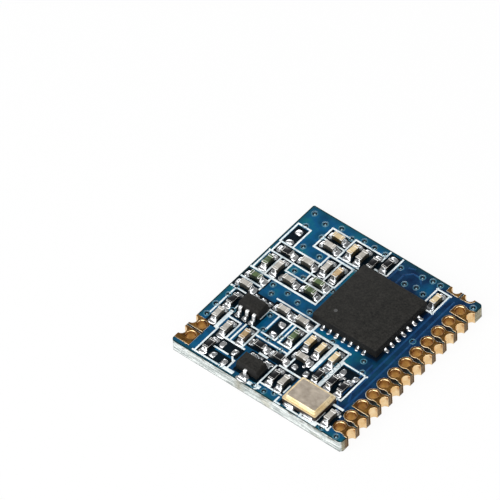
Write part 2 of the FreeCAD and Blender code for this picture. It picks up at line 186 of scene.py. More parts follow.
def ceramic(name, dark, light, rough, speckle=9.0, relief=0.35, gloss=0.0, side=None, grain=0.4, shine=0.5):
    """A fired or moulded body: mottled colour and a fine grain."""
    s = Shader(name)
    at = s.coords()
    patches = s.noise(at, 1.6, 3.0, 0.6)
    fine = s.noise(at, speckle, 5.0, 0.7)
    colour = s.ramp(s.blend(patches, fine, grain), (0.35, dark), (0.65, light))
    # Painted shade: faces that don't face up take the darker side colour
    if side:
        colour = s.shade_sides(colour, side)
    s.surface(colour, fine, rough, fine, relief, **{
        "Specular IOR Level": shine, "Coat Weight": gloss, "Coat Roughness": 0.2})


def top_tints(s, x, y, patches, colour):
    """What differs on the upper lacquer."""
    # Navy where many tracks run, by the row and behind the radio chip, but for a light spot
    by_row = s.multiply(s.slope(x, 0.8, -2.6), s.slope(y, 0.8, 6.4))
    behind = s.multiply(s.slope(y, 0.5, -1.0), s.slope(x, 0.5, 0.5))
    light_spot = s.add(s.multiply(s.away(x, 3.9), 1.1), s.away(y, 6.75))
    amount = s.multiply(s.math("MAXIMUM", by_row, behind), 0.85)
    amount = s.multiply(amount, s.slope(light_spot, 0.9, -0.25))
    colour = s.mix(amount, colour, s.ramp(patches, (0.35, "021234"), (0.65, "042a4c")))

    # Painted shadow round and under the radio chip, with an uneven edge
    from_chip = s.math("MAXIMUM", s.away(x, RADIO_X), s.away(y, RADIO_Y))
    reach = s.math("MULTIPLY_ADD", patches, 0.5, 3.12)
    under = s.multiply(s.math("SUBTRACT", reach, from_chip), 7.0, clamp=True)
    colour = s.mix(s.multiply(under, 0.85), colour, "080c10")

    # Dark between neighbouring pads: those of the row, the antenna's and those at the rear
    dams = s.multiply(s.slope(x, 8.0, -54.2), s.slope(s.math("ABSOLUTE", y), -8.0, 60.0))
    colour = s.mix(dams, colour, "16100c")
    antenna = s.multiply(s.math("LESS_THAN", s.away(y, -6.45), 0.16), s.math("LESS_THAN", x, -6.6))
    rear = s.multiply(s.math("LESS_THAN", s.away(x, 6.24), 0.16), s.math("GREATER_THAN", y, 7.74))
    return s.mix(s.math("MAXIMUM", antenna, rear), colour, "20140c")


def lacquer_material(name, top):
    """Glossy blue lacquer over copper: patchy depth, and a dark green line at the board's edge."""
    s = Shader(name)
    at = s.coords()
    x, y, _ = s.separate(at)
    broad = s.noise(at, 0.28, 2.0, 0.5)
    patches = s.noise(at, 1.1, 4.0, 0.6)
    fine = s.noise(at, 14.0, 4.0, 0.7)
    colour = s.ramp(
        s.blend(broad, patches, 0.45),
        (0.34, "022e56"), (0.44, "034666"), (0.50, "034a74"), (0.57, "045672"), (0.68, "086268"))
    if top:
        colour = top_tints(s, x, y, patches, colour)
    from_edge = s.math(
        "MINIMUM", s.math("SUBTRACT", EDGE_X, s.math("ABSOLUTE", x)),
        s.math("SUBTRACT", EDGE_Y, s.math("ABSOLUTE", y)))
    colour = s.mix(s.multiply(s.slope(from_edge, -1.8, 1.1), 0.6), colour, "0a3c40")
    wobble = s.math("MULTIPLY_ADD", fine, 0.05, 0.085)
    rim = s.multiply(s.math("SUBTRACT", wobble, from_edge), 30.0, clamp=True)
    colour = s.mix(rim, colour, "082a2c")
    height = s.add(s.multiply(fine, 0.35), patches)
    s.surface(colour, patches, (0.16, 0.26), height, 0.25, **{"Specular IOR Level": 0.28})


def laminate_material():
    """Cut glass laminate: thin layers that run along the edge, fibre ends, a few stained patches, and
    painted shade on the +X edge.
    """
    s = Shader("laminate")
    at = s.coords()
    x, y, z = s.separate(at)
    layers = s.noise(s.coords((0.9, 0.9, 9.0)), 1.0, 5.0, 0.65)
    fibres = s.noise(s.coords((6.0, 6.0, 26.0)), 1.0, 4.0, 0.7)
    both = s.blend(layers, fibres, 0.45)
    pale = s.ramp(both, (0.34, "3c4442"), (0.44, "868e8c"), (0.51, "c4cac8"), (0.62, "f0f2f0"))
    olive = s.ramp(both, (0.35, "5c543c"), (0.55, "968c6a"), (0.7, "bcb292"))
    brown = s.ramp(both, (0.35, "33230f"), (0.6, "7c5c32"))

    # Painted shade on the board's +X edge: olive on its faces, and brown on the teeth along the row
    teeth = s.multiply(s.math("SUBTRACT", x, 8.0), 16.0, clamp=True)
    stain = s.ramp(s.noise(at, 0.45, 3.0, 0.6), (0.56, 0.0), (0.68, 0.5))
    front = s.math("SUBTRACT", 1.0, s.multiply(s.away(x, -1.6), 1.6), clamp=True)
    amount = s.math("MAXIMUM", s.math("MAXIMUM", stain, teeth), s.multiply(front, 0.6))
    colour = s.mix(s.multiply(amount, 0.85), pale, olive)
    row_teeth_shade = s.multiply(s.multiply(teeth, s.slope(y, -6.0, 44.0)), s.slope(y, 6.0, 48.0))
    colour = s.mix(s.multiply(row_teeth_shade, 0.95), colour, brown)
    specks = s.ramp(s.noise(s.coords((2.0, 2.0, 5.0)), 1.0, 3.0, 0.6), (0.53, 0.0), (0.60, 0.8))
    colour = s.mix(s.multiply(specks, s.slope(z, 3.0, -1.7)), colour, "4c4a3c")
    s.surface(colour, fibres, (0.55, 0.85), both, 0.9, 0.00004)


def ink_material():
    """Printed white, with a faint grain and worn spots."""
    s = Shader("ink_white")
    at = s.coords()
    fine = s.noise(at, 11.0, 4.0, 0.7)
    colour = s.ramp(s.noise(at, 2.5, 5.0, 0.75), (0.30, "a8c4d0"), (0.44, "d8e4e8"), (0.6, "eef4f4"))
    s.surface(colour, fine, (0.45, 0.7), fine, 0.3)


def gold_material():
    """Plated pad where it is flat: a dark amber-brown that is painted shade, with stains."""
    s = Shader("gold_plating")
    at = s.coords()
    fine = s.noise(at, 12.0, 4.0, 0.7)
    colour = s.ramp(
        s.noise(at, 1.8, 4.0, 0.6), (0.30, "442a0c"), (0.45, "6a4718"), (0.58, "8a6026"), (0.72, "a47632"))
    s.surface(colour, fine, (0.24, 0.38), fine, 0.35, Metallic=0.7)


lacquer_material("solder_mask", True)
lacquer_material("solder_mask_under", False)
laminate_material()
ink_material()
gold_material()
# The rim's lighter gold is a painted highlight, and the walls' darker gold painted shade in the holes and on
# the far side of the row's half-holes
metal("gold_rim_highlight", "e6b878", "fce2b6", (0.22, 0.36), 7.0, 0.2)
metal("gold_notch", "e2ba80", "f8deb2", (0.26, 0.40), 6.0, 0.3)
metal("gold_wall_shade", "885a22", "c8964e", (0.28, 0.45), 6.0, 0.3)
metal("solder", "a4a9ad", "fafafa", (0.08, 0.24), 2.6, 0.5, 0.9)
# The side colour of tin is painted shade on faces that don't face up
metal("tin", "e4e2de", "fcfcfa", (0.25, 0.4), 8.0, 0.3, 0.35, side="585449")
metal("lead_tin", "e0e0de", "fafafa", (0.18, 0.32), 8.0, 0.3, 0.6)
metal("lid_metal", "94897c", "c0b4a4", (0.38, 0.52), 9.0, 0.5, 0.4, scale=(1.2, 1.6, 1.0))
metal("lid_gold", "e4c488", "fff0cc", (0.25, 0.4), 7.0, 0.2, 0.6)
ceramic("mould_compound", "080808", "2f2e2b", (0.6, 0.85), 7.0, 0.7, grain=0.8, shine=0.18)
# A darker copy of the moulding for the chips' sides: painted shade
ceramic("mould_side_shade", "0a0a0a", "1c1b19", (0.55, 0.8), 14.0, 0.5, shine=0.25)
ceramic("crystal_ceramic", "1c120c", "3a2a1e", (0.45, 0.7))
# The side colours of the chip ceramics are painted shade on faces that don't face up
ceramic("ceramic_beige", "b49c70", "e2cfa8", (0.35, 0.55), side="3a321c")
ceramic("ceramic_grey", "8a867e", "beb9b1", (0.35, 0.55), side="2c2a24")
ceramic("ceramic_tan", "8e744e", "c6aa80", (0.35, 0.55), side="302416")
ceramic("resistor_black", "0a0a0c", "18181c", (0.25, 0.45), 10.0, 0.2, 0.15, shine=0.3)
ceramic("resistor_white", "c9c9c2", "e8e8e2", (0.5, 0.7))
# Its side colour is painted shade on faces that don't face up
ceramic("inductor_green", "26361c", "5c7046", (0.35, 0.5), side="141e0e")
ceramic("inductor_band", "0a120c", "1c2818", (0.3, 0.5))
ceramic("dot", "343434", "4c4c4c", (0.45, 0.6))
ceramic("via_ring", "1c5066", "3a7488", (0.12, 0.25), 5.0, 0.2, 0.6)
# The via's near-black hole wall is painted shade, and its light floor a painted highlight
ceramic("via_hole_shade", "01060a", "020e16", (0.2, 0.35))
ceramic("via_floor_highlight", "5c8ca0", "a8ccd8", (0.2, 0.35), gloss=0.5)
ceramic("track", "05305e", "104872", (0.14, 0.26), 4.0, 0.25)
# Nearly black lacquer for the fields round the parts: painted shade
ceramic("part_shade", "010a12", "03141e", (0.2, 0.35), 5.0, 0.2, shine=0.12)


# Mesh helpers

SHARP_ANGLE = 38


def make_object(name, bm, materials):
    """A piece that rides the root, from a mesh in millimetres."""
    mesh = bpy.data.meshes.new(name)
    bm.normal_update()
    bm.to_mesh(mesh)
    bm.free()
    mesh.transform(Matrix.Scale(MM, 4))
    for material in materials:
        mesh.materials.append(MATERIALS[material])
    mesh.shade_smooth()
    mesh.set_sharp_from_angle(angle=math.radians(SHARP_ANGLE))
    obj = bpy.data.objects.new(name, mesh)
    bpy.context.scene.collection.objects.link(obj)
    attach(obj, "root")
    return obj


def turned(quarters):
    return Matrix.Rotation(quarters * math.pi / 2, 4, "Z")


def placed(x, y, quarters=0.0):
    return Matrix.Translation((x, y, 0)) @ turned(quarters)


def arc(x, y, radius, start, end, steps):
    """Points along an arc, in degrees."""
    angles = [math.radians(start + (end - start) * i / steps) for i in range(steps + 1)]
    return [(x + radius * math.cos(a), y + radius * math.sin(a)) for a in angles]


def circle(x, y, radius, steps):
    return arc(x, y, radius, 0, 360, steps)[:-1]


def rounded_rectangle(x0, y0, x1, y1, radius, steps, z):
    """Points round a rectangle with round corners, counter-clockwise."""
    left, right, low, high = x0 + radius, x1 - radius, y0 + radius, y1 - radius
    points = []
    for x, y, start in ((right, high, 0), (left, high, 90), (left, low, 180), (right, low, 270)):
        points += [(a, b, z) for a, b in arc(x, y, radius, start, start + 90, steps)]
    return points


def add_block(bm, lo, hi, bevel, segments, at, material=0):
    """A block with rounded edges."""
    size = [h - l for l, h in zip(lo, hi)]
    middle = [(h + l) / 2 for l, h in zip(lo, hi)]
    made = bmesh.ops.create_cube(
        bm, size=1.0, matrix=Matrix.Translation(middle) @ Matrix.Diagonal((*size, 1)))
    faces = {f for v in made["verts"] for f in v.link_faces}
    edges = list({e for v in made["verts"] for e in v.link_edges})
    done = bmesh.ops.bevel(bm, geom=edges, offset=bevel, segments=segments, profile=0.5, affect="EDGES")
    faces = {f for f in faces if f.is_valid} | set(done["faces"])
    for f in faces:
        f.material_index = material
    bmesh.ops.transform(bm, matrix=at, verts=list({v for f in faces for v in f.verts}))


def add_rings(bm, rings, at=None, material=0, closed=True, cap_start=False, cap_end=False):
    """A skin over rings of points that all have the same number of points."""
    rows = []
    for ring in rings:
        rows.append([bm.verts.new((at @ Vector(p)) if at is not None else p) for p in ring])
    faces = []
    count = len(rows[0])
    for a, b in zip(rows, rows[1:]):
        for i in range(count if closed else count - 1):
            j = (i + 1) % count
            faces.append(bm.faces.new((a[i], a[j], b[j], b[i])))
    if cap_start:
        faces.append(bm.faces.new(list(reversed(rows[0]))))
    if cap_end:
        faces.append(bm.faces.new(rows[-1]))
    for f in faces:
        f.material_index = material
    return faces


def add_drawn_block(bm, length, width, corner, base, layers, at, steps):
    """Stacked rounded rectangles: a layer is (inset, height over the base, material of the band below)."""
    rings = []
    for inset, z, _ in layers:
        x, y = length / 2 - inset, width / 2 - inset
        rings.append(rounded_rectangle(-x, -y, x, y, max(corner - inset * 0.6, 0.02), steps, base + z))
    for a, b, layer in zip(rings, rings[1:], layers[1:]):
        add_rings(bm, [a, b], at, layer[2])
    for ring, material, flip in ((rings[0], layers[0][2], True), (rings[-1], layers[-1][2], False)):
        verts = [bm.verts.new(at @ Vector(p)) for p in ring]
        face = bm.faces.new(list(reversed(verts)) if flip else verts)
        face.material_index = material
    bmesh.ops.remove_doubles(bm, verts=bm.verts, dist=1e-5)


def add_revolved(bm, x, y, base, profile, steps, materials):
    """A capped skin about an upright axis: (radius, height over the base) points and a material a band."""
    rings = [[(a, b, base + z) for a, b in circle(x, y, radius, steps)] for radius, z in profile]
    for i, (a, b) in enumerate(zip(rings, rings[1:])):
        add_rings(bm, [a, b], None, materials[i], cap_end=(i == len(rings) - 2))


def add_sheet(bm, loops, z0, z1, edge, drop, front=0):
    """A flat sheet with holes, from closed loops of points. Its edges are rounded: so wide, and so deep.

    The rounding that faces the front has a material of its own, which the pads use for a painted highlight.
    """
    curve = bpy.data.curves.new("loops", "CURVE")
    curve.dimensions = "2D"
    curve.fill_mode = "BOTH"
    for loop in loops:
        spline = curve.splines.new("POLY")
        spline.points.add(len(loop) - 1)
        for point, (x, y) in zip(spline.points, loop):
            point.co = (x, y, 0, 1)
        spline.use_cyclic_u = True
    squash = drop / edge
    curve.bevel_depth = edge
    curve.bevel_resolution = 3
    curve.offset = -edge
    curve.extrude = (z1 - z0) / 2 / squash - edge
    obj = bpy.data.objects.new("loops", curve)
    mesh = bpy.data.meshes.new_from_object(obj)
    mesh.transform(Matrix.Translation((0, 0, (z0 + z1) / 2)) @ Matrix.Diagonal((1, 1, squash, 1)))
    for face in mesh.polygons:
        face.material_index = front if face.normal.y < -0.08 and face.normal.z > 0.05 else 0
    bm.from_mesh(mesh)
    bpy.data.meshes.remove(mesh)
    bpy.data.objects.remove(obj)
    bpy.data.curves.remove(curve)


# Where everything stands. Printed lines and parts have places on a grid

STEP = 0.05


def put(u, v):
    return u * STEP, v * STEP


def measured(points):
    """Points that were measured from the origin, on the board."""
    return [(x + ORIGIN_X, y + ORIGIN_Y) for x, y in points]


# Pads with a plated hole and a half-hole in the edge: the row, the antenna's and those at the rear
PITCH = 1.27
ROW_X = 7.03
ROW_Y = [6.885 - PITCH * i for i in reversed(range(12))]
STRAIGHT_PADS = (2, 11)
ANTENNA_X = -7.2
ANTENNA_REACH = -6.7
ANTENNA_DROP = 0.3
REAR_X = [6.87, 5.60]
HOLE = 0.39
DRILL = 0.415
PAD_RADIUS = 0.55
CLEAR = 0.03
HOLE_STEPS = 40
NOTCH_STEPS = 24

# Centres of the small tented holes
VIA = 0.17
VIAS = measured([
    (-9.55, 5.2), (-8.25, 4.87), (-9.3, 3.85), (-7.62, 3.7), (-7.0, 5.28), (-5.77, 4.95), (-4.87, 5.35),
    (-3.85, 5.3), (-2.8, 5.27), (-1.08, 4.95), (0.8, 5.2), (1.65, 5.4), (2.35, 5.4), (0.13, 3.9),
    (1.05, 4.15), (1.85, 3.95), (-8.15, 2.15), (-6.55, 2.1), (-3.6, 2.8), (-3.65, 0.15), (-7.15, -0.1),
    (-6.2, -0.2), (-7.55, -2.1), (-6.15, -2.1), (-5.0, -2.35), (-3.7, -2.5), (-7.1, -2.85), (-9.62, -3.95),
    (-9.55, -4.85), (-9.75, -6.1), (-9.65, -7.25), (-8.35, -5.85), (-5.85, -4.5), (-5.35, -5.9),
    (-3.8, -5.7), (-4.45, -6.4), (-3.05, -6.7), (-0.55, -3.65), (2.45, -3.75), (3.05, -4.65), (4.1, -0.07),
    (5.6, 5.2), (5.35, -10.5), (1.2, -5.25), (1.15, -5.95), (1.15, -6.55), (-5.6, -10.45), (-2.47, -10.45),
    (-1.55, -10.42), (-0.8, -10.1), (2.0, -10.55), (4.0, -10.5),
])

# White lines: x0, y0, x1, y1 in grid steps, and the width in millimetres
THIN = 0.14
OUTLINES = [
    (-157, 81, -157, 124, THIN), (-133, 81, -133, 124, THIN), (-157, 124, -133, 124, THIN),
    (-157, 81, -78, 81, THIN), (-155, 58, -155, 81, THIN), (-158, 58, -34, 58, THIN),
    (-110, 103, -110, 148, THIN), (-110, 148, -78, 148, THIN), (-110, 124, -103, 124, THIN),
    (-83, 124, -68, 124, THIN), (-110, 103, -34, 103, 0.17), (-68, 103, -68, 151, THIN),
    (-68, 151, -11, 151, THIN), (-11, 142, -11, 163, THIN), (-68, 109, -30, 109, THIN),
    (-9, 123, 13, 123, THIN), (13, 123, 13, 163, THIN), (-79, 58, -79, 103, THIN),
    (-34, 58, -34, 103, THIN), (-56, 58, -56, 103, THIN), (-157, 16, -157, 58, THIN),
    (-134, 16, -134, 58, THIN), (-113, 40, -113, 58, THIN), (-159, 16, -36, 16, 0.17),
    (-113, 40, -36, 40, THIN), (-78, 40, -78, 58, THIN), (-36, 16, -36, 58, THIN),
    (-159, -7, -120, -7, THIN), (-120, -12, -120, 16, THIN), (-159, -30, -154, -30, THIN),
    (-147, -30, -132, -30, THIN), (-150, -44, -150, -32, THIN), (-150, -90, -150, -51, THIN),
    (-125, -63, -125, -55, 0.10), (-121, -161, -121, -106, THIN), (-121, -80, -99, -80, THIN),
    (-99, -114, -99, -80, THIN), (-92, -114, -92, -77, THIN), (-102, -115, -64, -115, 0.17),
    (-69, -115, -69, -75, THIN), (-83, -74, -69, -74, THIN), (-87, -10, -6, -10, THIN),
    (-82, -33, -7, -33, THIN), (-82, -56, -82, -34, 0.08), (-63, -65, -63, -33, THIN),
    (-39, -74, -39, -33, THIN), (-32, -73, -32, -33, THIN), (-64, -74, -39, -74, THIN),
    (-33, -74, -7, -74, THIN), (-69, -83, -22, -83, THIN), (-17, -83, -7, -83, THIN),
    (-40, -107, -27, -107, 0.20), (-2, -107, 36, -107, 0.16), (7, -106, 7, -84, THIN),
    (-6, -158, -6, -110, THIN), (-61, -158, -61, -141, THIN), (-68, -137, -62, -143, THIN),
    (-102, -137, -77, -137, THIN), (-124, -161, -74, -161, THIN), (-6, -27, 66, -27, 0.18),
    (65, -52, 65, -28, THIN), (67, -46, 113, -46, THIN), (111, -104, 111, -46, THIN),
    (107, -104, 111, -104, THIN), (-5, -149, 35, -149, THIN), (35, -143, 35, -128, 0.12),
    (35, -163, 35, -154, THIN), (35, -164, 44, -164, THIN), (58, -163, 77, -163, THIN),
    (106, -164, 106, -136, THIN), (104, -124, 104, -102, THIN), (108, -116, 124, -116, 0.20),
    (109, -158, 131, -158, THIN), (130, -159, 130, -151, THIN), (88, 150, 114, 150, THIN),
    (89, 121, 89, 151, THIN), (112, 107, 112, 150, THIN), (101, 108, 113, 108, THIN),
    (-7, -90, -7, -10, 0.20), (-125, -106, -125, -71, 0.30), (40, -84, 40, -27, 0.29),
    (67, -100, 67, -47, 0.35), (-68, -160, -50, -160, 0.30), (-17, -160, -15, -160, 0.30),
    (-3, -158, -1, -158, 0.34), (-4, -164, -1, -162, 0.10),
    (83, -161, 108, -161, 0.40), (129, -129, 129, -127, 0.13),
]

# Chip parts: grid place, long side, and for a capacitor its colour
CAPACITORS = [
    (-88, 135, "X", "beige"), (-88, 114, "X", "grey"), (-55, 128, "Y", "beige"), (-37, 128, "Y", "grey"),
    (-65, 79, "Y", "grey"), (-44, 79, "Y", "tan"), (-94, 69, "X", "grey"), (-123, 36, "Y", "grey"),
    (-94, 26, "X", "grey"), (-139, -20, "X", "grey"), (-136, -88, "Y", "grey"), (-108, -102, "Y", "grey"),
    (-77, -97, "Y", "tan"), (-63, -24, "X", "grey"), (-27, -24, "X", "grey"), (8, -48, "Y", "beige"),
    (29, -49, "Y", "beige"), (17, -78, "X", "grey"), (56, -51, "Y", "beige"), (25, -130, "Y", "grey"),
    (103, 128, "Y", "beige"), (120, -139, "Y", "grey"),
]
RESISTORS = [
    (-17, 128, "Y"), (2, 140, "Y"), (-132, 68, "X"), (-137, -53, "Y"), (-109, -141, "Y"), (56, -88, "Y"),
    (-48, -97, "X"), (-11, -97, "X"), (6, -129, "Y"), (80, -85, "Y"), (100, -85, "Y"),
]
INDUCTORS = [(-143, 36, "Y"), (-138, 2, "X"), (-55, 48, "X"), (-55, 28, "X"), (-18, -55, "Y")]

# Places that get a field of painted shade as a chip part does, but hold bare lands
BARE_FIELDS = [
    (-144, 99, "Y"), (-49, -56, "Y"), (-82, -127, "X"), (-82, -152, "X"), (28, -96, "X"), (91, -60, "X"),
]

# Tracks that show through the lacquer: x0, y0, x1, y1 and the width
TRACKS = [
    (5.70, 7.4, 5.70, -4.2, 0.17), (5.70, -4.2, 6.05, -4.9, 0.17), (6.22, 7.2, 6.22, -5.6, 0.15),
    (1.60, 6.10, 1.60, 7.05, 0.15), (1.60, 7.05, 2.10, 7.55, 0.15), (2.10, 7.55, 2.75, 7.55, 0.15),
    (2.75, 7.55, 3.15, 7.15, 0.15), (0.90, 6.10, 0.90, 7.15, 0.15), (0.90, 7.15, 1.25, 7.50, 0.13),
    (1.50, 7.80, 1.95, 8.00, 0.12), (5.25, -1.2, 5.25, -5.2, 0.14), (5.25, -5.2, 5.95, -6.1, 0.14),
]

# Bare tinned lands: place from the origin, length and width. And loose beads of solder
LANDS = [
    (-9.25, 3.0, 0.62, 0.52), (-9.2, 1.85, 0.62, 0.52), (-4.5, -4.75, 0.62, 0.5), (-4.45, -5.85, 0.62, 0.5),
    (-6.75, -8.85, 0.5, 0.6), (-5.55, -8.9, 0.5, 0.6), (-6.7, -10.05, 0.5, 0.6), (-5.6, -10.1, 0.5, 0.6),
    (-1.2, -7.28, 0.5, 0.56), (-0.1, -7.32, 0.5, 0.56), (1.95, -5.5, 0.5, 0.6), (3.1, -5.5, 0.5, 0.6),
]
BEADS = measured([(-0.7, -6.85), (-3.6, -8.15), (2.4, -5.9), (2.45, -6.5)])


# Board: laminate, lacquer and ink

def paint(name, material):
    """Gives a CAD node that stays in sight its look."""
    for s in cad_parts[name].material_slots:
        s.material = MATERIALS[material]


def ring_side(i, y, gap):
    """The inner outline of a pad of the row, from the edge of the board round its ring and back."""
    r, neck, waist = PAD_RADIUS + gap, 0.44 + gap, 0.535
    high = [(ROW_X + waist - 0.06, y + neck), (ROW_X + waist + 0.06, y + neck),
            (EDGE_X - 0.33, y + r - 0.03), (EDGE_X - 0.22, y + r), (EDGE_X, y + r)]
    if i in STRAIGHT_PADS:
        left = ROW_X - r
        low = [(EDGE_X, y - r), (left + 0.08, y - r), (left + 0.03, y - r + 0.02), (left, y - r + 0.08)]
        return low + arc(ROW_X, y, r, 180, 52, 16) + high
    low = [(a, 2 * y - b) for a, b in reversed(high)]
    return low + arc(ROW_X, y, r, 308, 52, 30) + high


def rear_side(x, gap):
    """The inner outline of a half-hole's pad on the +Y edge. The outer pad has a round end."""
    r, low = PAD_RADIUS + gap, EDGE_Y - 0.55 - gap
    if x == REAR_X[0]:
        return list(reversed(arc(x, EDGE_Y, 0.53 + gap, -75, 0, 12))) + [(x - r, low), (x - r, EDGE_Y)]
    return [(x + r, EDGE_Y), (x + r, low), (x - r, low), (x - r, EDGE_Y)]


def antenna_side(i, y, gap):
    """The inner outline of an antenna pad. The first of them reaches lower."""
    r, reach = PAD_RADIUS + gap, ANTENNA_REACH + gap
    low = y - r - (ANTENNA_DROP if i == 0 else 0.0)
    return [(-EDGE_X, y + r), (reach, y + r), (reach, low), (-EDGE_X, low)]


def tooth_side(i, y):
    """A half-hole of the row in the laminate, with the worn corners of the teeth beside it."""
    low = arc(EDGE_X - 0.15, y - DRILL - 0.14, 0.15, 0, 78, 6)
    high = arc(EDGE_X - 0.05, y + DRILL + 0.045, 0.05, -70, 0, 3)
    return low + arc(EDGE_X, y, DRILL, 256, 97, 20) + high


def board_loop(right, top, left):
    """The outline of the board, counter-clockwise, with what the three edges with pads add to it.

    Rounder corners than these would let the chamfer of the lower lacquer stick out.
    """
    def corner(x, y, radius, start):
        return arc(x * (EDGE_X - radius), y * (EDGE_Y - radius), radius, start, start + 90, 8)

    loop = corner(-1, -1, 0.34, 180) + corner(1, -1, 0.33, 270)
    for i, y in enumerate(ROW_Y):
        loop += right(i, y)
    loop += corner(1, 1, 0.33, 0)
    for x in REAR_X:
        loop += top(x)
    loop += corner(-1, 1, 0.15, 90)
    for i in (1, 0):
        loop += left(i, ROW_Y[i])
    return loop


paint("mask_bottom", "solder_mask_under")

via_loops = [circle(x, y, VIA, 16) for x, y in VIAS]
drilled = [circle(ROW_X, y, DRILL, HOLE_STEPS) for y in ROW_Y]
drilled += [circle(ANTENNA_X, y, DRILL, HOLE_STEPS) for y in ROW_Y[:2]]
outline = board_loop(
    tooth_side,
    lambda x: arc(x, EDGE_Y, DRILL, 0, -180, 20),
    lambda i, y: arc(-EDGE_X, y, DRILL, 90, -90, 20))
bm = bmesh.new()
add_sheet(bm, [outline] + drilled + via_loops, COPPER, CORE_TOP, 0.008, 0.012)
core = make_object("laminate_board", bm, ["laminate"])
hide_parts("board_core")

outline = board_loop(
    lambda i, y: ring_side(i, y, CLEAR),
    lambda x: rear_side(x, CLEAR),
    lambda i, y: antenna_side(i, y, CLEAR))
bm = bmesh.new()
add_sheet(bm, [outline] + via_loops, CORE_TOP, MASK_TOP, 0.012, 0.011)
lacquer = make_object("lacquer_top", bm, ["solder_mask"])
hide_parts("mask_top")


def add_line(bm, x0, y0, x1, y1, width, z1):
    """A flat printed line with round ends and a soft upper edge."""
    r, soft, steps = width / 2, 0.015, 5
    half = math.hypot(x1 - x0, y1 - y0) / 2 + r
    corner = r * (0.35 if width > 0.11 else 0.9)
    middle = Matrix.Translation(((x0 + x1) / 2, (y0 + y1) / 2, 0))
    at = middle @ Matrix.Rotation(math.atan2(y1 - y0, x1 - x0), 4, "Z")
    add_rings(bm, [
        rounded_rectangle(-half, -r, half, r, corner, steps, MASK_TOP),
        rounded_rectangle(-half, -r, half, r, corner, steps, (MASK_TOP + z1) / 2),
        rounded_rectangle(-half + soft, -r + soft, half - soft, r - soft, corner * 0.8, steps, z1),
    ], at, cap_end=True)


# Heights over the lacquer. A hair of difference keeps two upper faces that cross out of one plane
INK_HEIGHT = 0.0132
TRACK_HEIGHT = 0.0052
LINE_HAIR = 0.00002
FIELD_HEIGHT = 0.0004
FIELD_HAIR = 0.00001
FIELD_LONG, FIELD_WIDE = 1.10, 0.53

bm = bmesh.new()
for i, (u0, v0, u1, v1, width) in enumerate(OUTLINES):
    add_line(bm, *put(u0, v0), *put(u1, v1), width, MASK_TOP + INK_HEIGHT + LINE_HAIR * i)
ink = make_object("silkscreen_ink", bm, ["ink_white"])
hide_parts("silkscreen")

# A tented via: a raised ring, the wall of its hole in painted shade, and a painted highlight of lacquer in
# the middle
bm = bmesh.new()
for x, y in VIAS:
    reach = min(0.28, EDGE_Y - abs(y) - 0.01)
    profile = [(reach, 0.0), (reach - 0.02, 0.012), (reach - 0.05, 0.018), (0.205, 0.014), (0.185, 0.002),
               (0.17, -0.02), (0.165, -0.09), (0.08, -0.10), (0.055, -0.075), (0.02, -0.06)]
    add_revolved(bm, x, y, MASK_TOP, profile, 24, [0, 0, 0, 0, 1, 1, 1, 2, 2])
make_object("tented_vias", bm, ["via_ring", "via_hole_shade", "via_floor_highlight"])

# Nearly black fields round the parts: painted shade round and under them
chip_places = CAPACITORS + RESISTORS + INDUCTORS + BARE_FIELDS
fields = [(u, v, FIELD_LONG, FIELD_WIDE, along) for u, v, along, *_ in chip_places]
fields += [(-101, -48, 1.15, 1.45, "X"), (-30, -132, 1.15, 1.15, "X"), (75, -133, 1.75, 1.45, "X")]
bm = bmesh.new()
for i, (u, v, half_long, half_wide, along) in enumerate(fields):
    x, y = put(u, v)
    w, h = (half_long, half_wide) if along == "X" else (half_wide, half_long)
    z = MASK_TOP + FIELD_HEIGHT + FIELD_HAIR * i
    ring = rounded_rectangle(x - w, max(y - h, 0.02 - EDGE_Y), x + w, y + h, 0.09, 3, z)
    bm.faces.new([bm.verts.new(p) for p in ring])
make_object("painted_shade_fields", bm, ["part_shade"])

bm = bmesh.new()
for i, (x0, y0, x1, y1, width) in enumerate(TRACKS):
    add_line(bm, x0, y0, x1, y1, width, MASK_TOP + TRACK_HEIGHT + LINE_HAIR * i)
make_object("tracks_under_lacquer", bm, ["track"])


# Plated pads, with their holes and half-holes

# The flat plating and the hole walls carry painted shade, and the rim round each hole and the rounding that
# faces the front a lighter gold: painted highlight
GOLD = ["gold_plating", "gold_wall_shade", "gold_notch", "gold_rim_highlight"]
WALL_SHADE, NOTCH, RIM_HIGHLIGHT = 1, 2, 3
FLARE = 0.072
ROUNDING, DROP = 0.055, 0.0165


def add_wall(bm, x, y, start, end, material):
    """The plated wall of a hole: a full turn with a flared rim, or half of one with its cut ends."""
    whole = end - start >= 360
    levels = [(HOLE + 0.004, COPPER * 0.4), (HOLE, COPPER), (HOLE - 0.004, 0.3), (HOLE, 0.7)]
    bands = [(levels + [(HOLE, CORE_TOP - 0.01), (HOLE + 0.004, PAD_TOP - COPPER * 0.5)], material)]
    if whole:
        flare = [(0.0, 0.075), (0.006, 0.062), (0.03, 0.034), (ROUNDING, 0.010), (FLARE, 0.0015)]
        bands = [(levels + [(HOLE, PAD_TOP - 0.075)], material),
                 ([(HOLE + r, PAD_TOP - z) for r, z in flare], RIM_HIGHLIGHT)]
    for profile, kind in bands:
        rings = []
        for radius, z in profile:
            points = arc(x, y, radius, start, end, HOLE_STEPS)
            rings.append([(a, b, z) for a, b in (points[:-1] if whole else points)])
        for f in add_rings(bm, rings, None, kind, closed=whole):
            middle = f.calc_center_median()
            shaded = math.degrees(math.atan2(middle.y - y, middle.x - x)) % 360 > 196
            # Painted shade: the far side of a half-hole in the row's edge takes the darker wall
            if kind == NOTCH and x == EDGE_X and shaded:
                f.material_index = WALL_SHADE
    if not whole:
        for angle in (start, end):
            inner, outer = arc(x, y, HOLE, angle, angle, 1)[0], arc(x, y, DRILL, angle, angle, 1)[0]
            quad = [(*inner, COPPER * 0.5), (*outer, COPPER * 0.5), (*outer, CORE_TOP), (*inner, CORE_TOP)]
            bm.faces.new([bm.verts.new(p) for p in quad]).material_index = material


